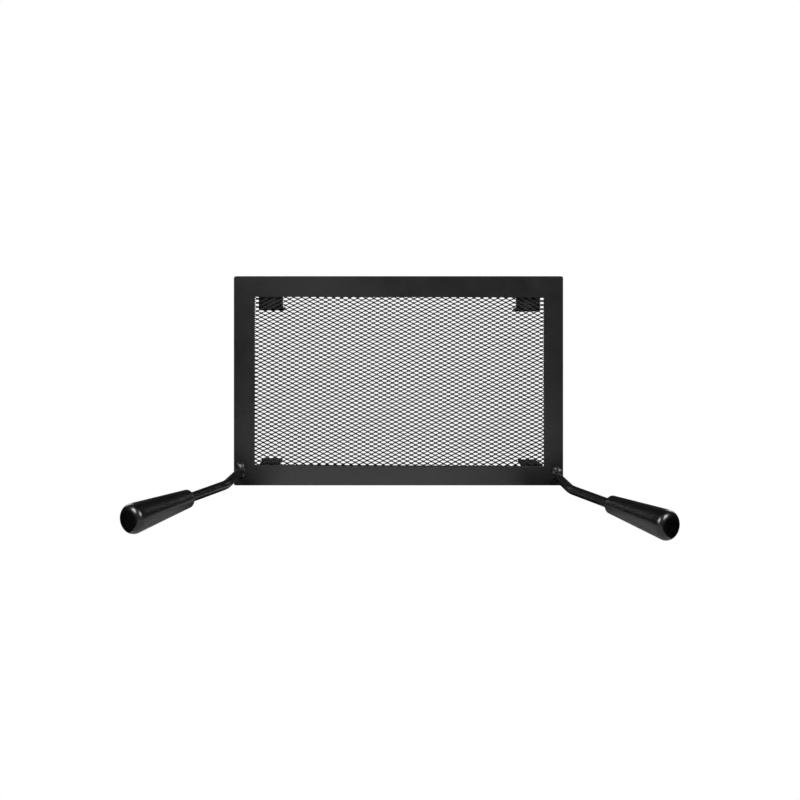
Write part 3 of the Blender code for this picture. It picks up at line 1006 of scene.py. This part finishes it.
@dataclass
class FootWeld:
    """The lumpy fillet bead round a rod's foot: a mound above the rod, a smaller one below and little beside it."""

    handle: Handle
    side_width: float = 2 * MM
    top_mound: float = 6.5 * MM
    bottom_mound: float = 3 * MM
    height: float = 6 * MM
    lumps: int = 7
    lump_share: float = 0.12
    grain_share: float = 0.12
    grain_size: float = 3 * MM
    bore_share: float = 0.97
    segments: int = 120
    profile_steps: int = 10

    def _width(self, angle: float) -> float:
        """Return how far the bead reaches out on the frame at an angle from +X.

        Args:
            angle: The direction round the rod, in radians from +X towards +Z.

        Returns:
            The bead's width there.
        """
        above = max(0.0, math.sin(angle)) ** 2
        below = max(0.0, -math.sin(angle)) ** 2
        return self.side_width + self.top_mound * above + self.bottom_mound * below

    def _section(self, angle: float) -> list[Vector]:
        """Return the bead's closed section at an angle.

        Args:
            angle: The direction round the rod, in radians from +X towards +Z.

        Returns:
            The section's points, in order round it.
        """
        out = Vector((math.cos(angle), 0, math.sin(angle)))
        bore = self.handle.rod_radius * self.bore_share
        width = self._width(angle)
        rise = self.height * (0.45 + 0.55 * width / (self.side_width + self.top_mound))
        points = []
        for turn in arc(0, 90, self.profile_steps):
            reach = bore + width * math.cos(turn)
            lift = rise * math.sin(turn)
            spot = self.handle.foot + out * reach
            lump = math.sin(self.lumps * angle + 2.2 * math.sin(turn)) * self.lump_share
            grain = noise.noise(Vector((spot.x, lift, spot.z)) / self.grain_size) * self.grain_share
            swell = 1 + (lump + grain) * math.sin(2 * turn)
            lean = self.handle.first * (lift * swell / -self.handle.first.y)
            points.append(self.handle.foot + out * (bore + (reach - bore) * swell) + lean)
        points.append(self.handle.foot + out * bore)
        return points

    def build(self, shop: Workshop) -> None:
        """Build the bead.

        Args:
            shop: The workshop that takes the pieces.
        """
        shell = Shell()
        shell.hoop([self._section(2 * math.pi * k / self.segments) for k in range(self.segments)])
        label = self.handle.side.label
        shop.piece(shell, f"foot_weld_{label}", WELD_PAINT, f"{label}_rod_weld", smooth_angle=70.0)


@dataclass
class BackWelds:
    """The small welds on the frame's back: on the mitres, beside the strips and along the panel's edge."""

    ripple_pitch: float = 1.3 * MM
    ripple_share: float = 0.13
    rows: int = 22
    seam_half_width: float = 2.5 * MM
    seam_height: float = 1.3 * MM
    bead_steps: int = 10
    bead_grain: float = 0.15
    bead_grain_size: float = 1.7 * MM
    tack_segments: int = 28
    tack_grain: float = 0.14
    tack_grain_size: float = 2.4 * MM

    def _bead(self, start: Vector, end: Vector, across: Vector, rise: Vector, sweep: tuple[float, float]) -> Shell:
        """Return a rippled bead along a straight seam.

        Args:
            start: Where the seam begins.
            end: Where it ends.
            across: The half width, as a vector along the plate.
            rise: The height, as a vector away from the plate.
            sweep: The section's first and last angle in degrees, from across towards rise.

        Returns:
            The bead's shell.
        """
        length = (end - start).length
        rings = []
        for k in range(self.rows + 1):
            share = k / self.rows
            taper = max(0.08, math.sqrt(max(0.0, 1 - abs(2 * share - 1) ** 2.6)))
            wave = 1 + self.ripple_share * math.sin(2 * math.pi * share * length / self.ripple_pitch)
            centre = start.lerp(end, share)
            ring = []
            for angle in arc(*sweep, self.bead_steps):
                grain = noise.noise((centre + across * math.cos(angle)) / self.bead_grain_size)
                rough = 1 + self.bead_grain * grain
                size = taper * wave * rough
                ring.append(centre + across * math.cos(angle) * size + rise * math.sin(angle) * size)
            if sweep[1] - sweep[0] < 180:
                ring.append(centre.copy())
            rings.append(ring)
        shell = Shell()
        shell.tube(rings)
        return shell

    def _mitres(self, shop: Workshop, plate: float) -> None:
        """Build the seam beads over the outer half of the four mitres.

        Args:
            shop: The workshop that takes the pieces.
            plate: How far back the frame's rear face lies.
        """
        for end in End:
            for side in Side:
                node = f"{end.label}_{side.label}_corner_weld"
                low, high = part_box(node)
                along = Vector((side.value, 0, end.value)).normalized()
                centre = Vector(((low.x + high.x) / 2, plate, (low.z + high.z) / 2))
                half = (high.x - low.x) / math.sqrt(2)
                across = BACK.cross(along) * self.seam_half_width
                bead = self._bead(centre - along * half, centre + along * half, across, BACK * self.seam_height,
                                  (0, 180))
                shop.piece(bead, f"mitre_weld_{end.label}_{side.label}", WELD_PAINT, node, smooth_angle=60.0)

    def _strip_beads(self, shop: Workshop, plate: float) -> None:
        """Build the fillet beads beside the tabs' legs.

        Args:
            shop: The workshop that takes the pieces.
            plate: How far back the frame's rear face lies.
        """
        for end, strip in ((End.TOP, "guide_tab"), (End.BOTTOM, "rest_tab")):
            for side in Side:
                for edge, facing in (("outer", side.value), ("inner", -side.value)):
                    node = f"{end.label}_{side.label}_{strip}_{edge}_weld"
                    low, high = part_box(node)
                    root_x = low.x if facing > 0 else high.x
                    start = Vector((root_x, plate, low.z))
                    finish = Vector((root_x, plate, high.z))
                    across = RIGHT * facing * (high.x - low.x)
                    bead = self._bead(start, finish, across, BACK * (high.y - low.y), (0, 90))
                    shop.piece(bead, f"{strip}_weld_{side.label}_{edge}", WELD_PAINT, node, smooth_angle=60.0)

    def _tacks(self, shop: Workshop, plate: float) -> None:
        """Build the round tacks along the panel's four edges.

        Args:
            shop: The workshop that takes the pieces.
            plate: How far back the frame's rear face lies.
        """
        for node in sorted(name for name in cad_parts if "_mesh_tack_" in name):
            low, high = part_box(node)
            centre = Vector(((low.x + high.x) / 2, plate, (low.z + high.z) / 2))
            radius = (high.x - low.x) / 2
            height = high.y - plate
            rings = []
            for turn in arc(0, 84, 7):
                ring = []
                for k in range(self.tack_segments):
                    angle = 2 * math.pi * k / self.tack_segments
                    out = Vector((math.cos(angle), 0, math.sin(angle)))
                    rough = 1 + self.tack_grain * noise.noise((centre + out * radius) / self.tack_grain_size)
                    ripple = 1 + 0.05 * math.sin(7 * turn)
                    lift = height * math.sin(turn) * ripple
                    ring.append(centre + out * radius * math.cos(turn) * rough + BACK * lift)
                rings.append(ring)
            shell = Shell()
            shell.tube(rings)
            edge, _, number = node.partition("_mesh_tack_")
            shop.piece(shell, f"panel_tack_{edge}_{number}", WELD_PAINT, node, smooth_angle=60.0)

    def build(self, shop: Workshop) -> None:
        """Build every weld on the frame's back.

        Args:
            shop: The workshop that takes the pieces.
        """
        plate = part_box("top_rail")[1].y
        self._mitres(shop, plate)
        self._strip_beads(shop, plate)
        self._tacks(shop, plate)


# Studio


@dataclass(frozen=True)
class Lamp:
    """A soft rectangular light that the camera doesn't see."""

    name: str
    place: tuple[float, float, float]
    size: tuple[float, float]
    power: float

    def hang(self, aim: Vector) -> None:
        """Hang the light, turned to face a point.

        Args:
            aim: The point that the light faces.
        """
        lamp = bpy.data.lights.new(self.name, "AREA")
        lamp.shape = "RECTANGLE"
        lamp.size, lamp.size_y = self.size
        lamp.energy = self.power
        light = bpy.data.objects.new(self.name, lamp)
        light.location = self.place
        light.rotation_euler = (aim - light.location).to_track_quat("-Z", "Y").to_euler()
        light.visible_camera = False
        bpy.context.scene.collection.objects.link(light)


@dataclass
class Studio:
    """A white floor in a dim room, soft lights, and the camera.

    The floor and the room are plain white to the camera. The object is lit by the lamps, and by a card on the floor
    close round it that the camera doesn't see; the card's colour is painted light, with painted shade beside the
    handles.
    """

    lamps: tuple[Lamp, ...] = (
        Lamp("left_softbox", (-0.95, -1.15, 1.15), (0.7, 0.7), 36.0),
        Lamp("right_softbox", (0.95, -1.15, 1.15), (0.7, 0.7), 32.0),
        Lamp("front_panel", (0.0, -2.6, 0.5), (2.4, 1.0), 0.15),
        Lamp("front_spot", (-0.254, -1.35, 0.26), (0.1, 0.1), 0.27),
        Lamp("right_fill", (0.5, -1.3, 0.12), (0.4, 0.2), 0.07),
        Lamp("back_left_softbox", (-1.2, 1.1, 0.7), (0.7, 0.7), 9.0),
        Lamp("back_right_softbox", (1.2, 1.1, 0.7), (0.7, 0.7), 9.0),
        Lamp("back_panel", (0.0, 1.6, 0.45), (1.0, 0.5), 0.3),
    )
    floor_size: float = 5.0
    lit_size: tuple[float, float] = (0.67, 0.95)
    lit_front: float = 1.1
    # The card's colours are painted light: a bright pool in the middle, painted shade near black beside and under the
    # handles and darker towards the right handle, and a flat darker front in place of the light dying away.
    lit_front_tone: float = 0.56
    lit_front_edge: tuple[float, float] = (-0.17, -0.12)
    lit_tones: tuple[tuple[float, float], ...] = (
        (-0.26, 0.02), (-0.23, 0.02), (-0.18, 0.9), (0.06, 0.95), (0.13, 0.7), (0.17, 0.55), (0.2, 0.02), (0.26, 0.02),
    )
    room_glow: float = 0.02
    camera_distance: float = 1.3
    camera_height: float = 0.3513
    lens: float = 39.25
    shift: tuple[float, float] = (0.0019, -0.1877)

    @staticmethod
    def _sheet(name: str, size: tuple[float, float], level: float, front: float = 0.0) -> bpy.types.Object:
        """Return a level rectangle round the origin, longer at the front by a length.

        Args:
            name: The object's name.
            size: The size along X and Y.
            level: The height that it lies at.
            front: How much longer it is at the front.

        Returns:
            The rectangle, marked as part of the stage.
        """
        half_x, half_y = size[0] / 2, size[1] / 2
        shell = Shell()
        near_y = -half_y - front
        corners = ((-half_x, near_y), (half_x, near_y), (half_x, half_y), (-half_x, half_y))
        shell.cap(shell.ring([Vector((x, y, level)) for x, y in corners]))
        sheet = shell.object(name, 30.0)
        sheet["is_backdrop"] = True
        return sheet

    def _floor(self, level: float) -> None:
        """Lay the lit card, whose colour is painted light and shade, at the object's lowest point, and the white floor
        just below it.

        Args:
            level: The height of the object's lowest point.
        """
        floor = self._sheet("studio_floor", (self.floor_size, self.floor_size), level - 0.1 * MM)
        white = bpy.data.materials.new("studio_white")
        white.use_nodes = True
        graph = Graph(white.node_tree)
        shader = white.node_tree.nodes["Principled BSDF"]
        seen = graph.add("ShaderNodeLightPath").outputs["Is Camera Ray"]
        graph.feed(shader.inputs["Emission Strength"], seen)
        shader.inputs["Emission Color"].default_value = (1.0, 1.0, 1.0, 1.0)
        shader.inputs["Base Color"].default_value = (0.0, 0.0, 0.0, 1.0)
        shader.inputs["Specular IOR Level"].default_value = 0.0
        floor.data.materials.append(white)
        lit = self._sheet("studio_floor_lit", self.lit_size, level, self.lit_front)
        lit.visible_camera = False
        card = bpy.data.materials.new("studio_card")
        card.use_nodes = True
        graph = Graph(card.node_tree)
        shader = card.node_tree.nodes["Principled BSDF"]
        place = graph.add("ShaderNodeTexCoord").outputs["Object"]
        along = graph.add("ShaderNodeSeparateXYZ", {0: place}).outputs
        # Painted shade: the card's tone along X falls to near black beside and under the handles, and dims towards the
        # right handle, in place of the handles' shadows on the floor.
        ramp = graph.add("ShaderNodeValToRGB", {"Fac": graph.remap(along["X"], (-0.5, 0.5), (0.0, 1.0))})
        stops = ramp.color_ramp.elements
        while len(stops) < len(self.lit_tones):
            stops.new(1.0)
        for stop, (x, tone) in zip(stops, self.lit_tones):
            stop.position = x + 0.5
            stop.color = (tone, tone, tone, 1.0)
        # Painted falloff: in front of the object the card turns a flat darker grey, in place of the light dying away
        # from it.
        front = graph.remap(along["Y"], self.lit_front_edge, (1.0, 0.0))
        tone = graph.mix(front, ramp.outputs["Color"], (self.lit_front_tone,) * 3)
        graph.feed(shader.inputs["Base Color"], tone)
        shader.inputs["Roughness"].default_value = 0.9
        lit.data.materials.append(card)

    def _room(self) -> None:
        """Make the room: white where it is seen behind the object, dim as a source of light."""
        world = bpy.data.worlds.new("studio_room")
        world.use_nodes = True
        bpy.context.scene.world = world
        graph = Graph(world.node_tree)
        seen = graph.add("ShaderNodeLightPath").outputs["Is Camera Ray"]
        background = world.node_tree.nodes["Background"]
        graph.feed(background.inputs["Strength"], graph.remap(seen, (0.0, 1.0), (self.room_glow, 1.0)))
        background.inputs["Color"].default_value = (1.0, 1.0, 1.0, 1.0)

    def _camera(self, front: float) -> None:
        """Set up the level camera in front of the screen.

        Args:
            front: How far back the frame's front face lies.
        """
        lens = bpy.data.cameras.new("studio_camera")
        lens.lens = self.lens
        lens.shift_x, lens.shift_y = self.shift
        camera = bpy.data.objects.new("studio_camera", lens)
        camera.location = (0.0, front - self.camera_distance, self.camera_height)
        camera.rotation_euler = (math.radians(90), 0.0, 0.0)
        bpy.context.scene.collection.objects.link(camera)
        bpy.context.scene.camera = camera

    def build(self) -> None:
        """Build the floor, the room, the lights and the camera."""
        low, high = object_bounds()
        self._floor(low.z)
        self._room()
        for lamp in self.lamps:
            lamp.hang((low + high) / 2)
        self._camera(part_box("top_rail")[0].y)
        bpy.context.scene.view_settings.view_transform = "Standard"
        LOG.info("studio built round an object of %s", tuple(round(size, 3) for size in high - low))


def main() -> None:
    """Build the screen's pieces in order, then the studio."""
    logging.basicConfig(level=logging.INFO, format="%(name)s: %(message)s")
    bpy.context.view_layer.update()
    shop = Workshop()
    FrameBars().build(shop)
    ExpandedMetal().build(shop)
    Tabs().build(shop)
    for handle in (Handle(Side.LEFT, second_length=76.8 * MM), Handle(Side.RIGHT, second_length=81 * MM)):
        handle.build(shop)
        FootWeld(handle).build(shop)
    BackWelds().build(shop)
    Studio().build()


if __name__ == "__main__":
    main()
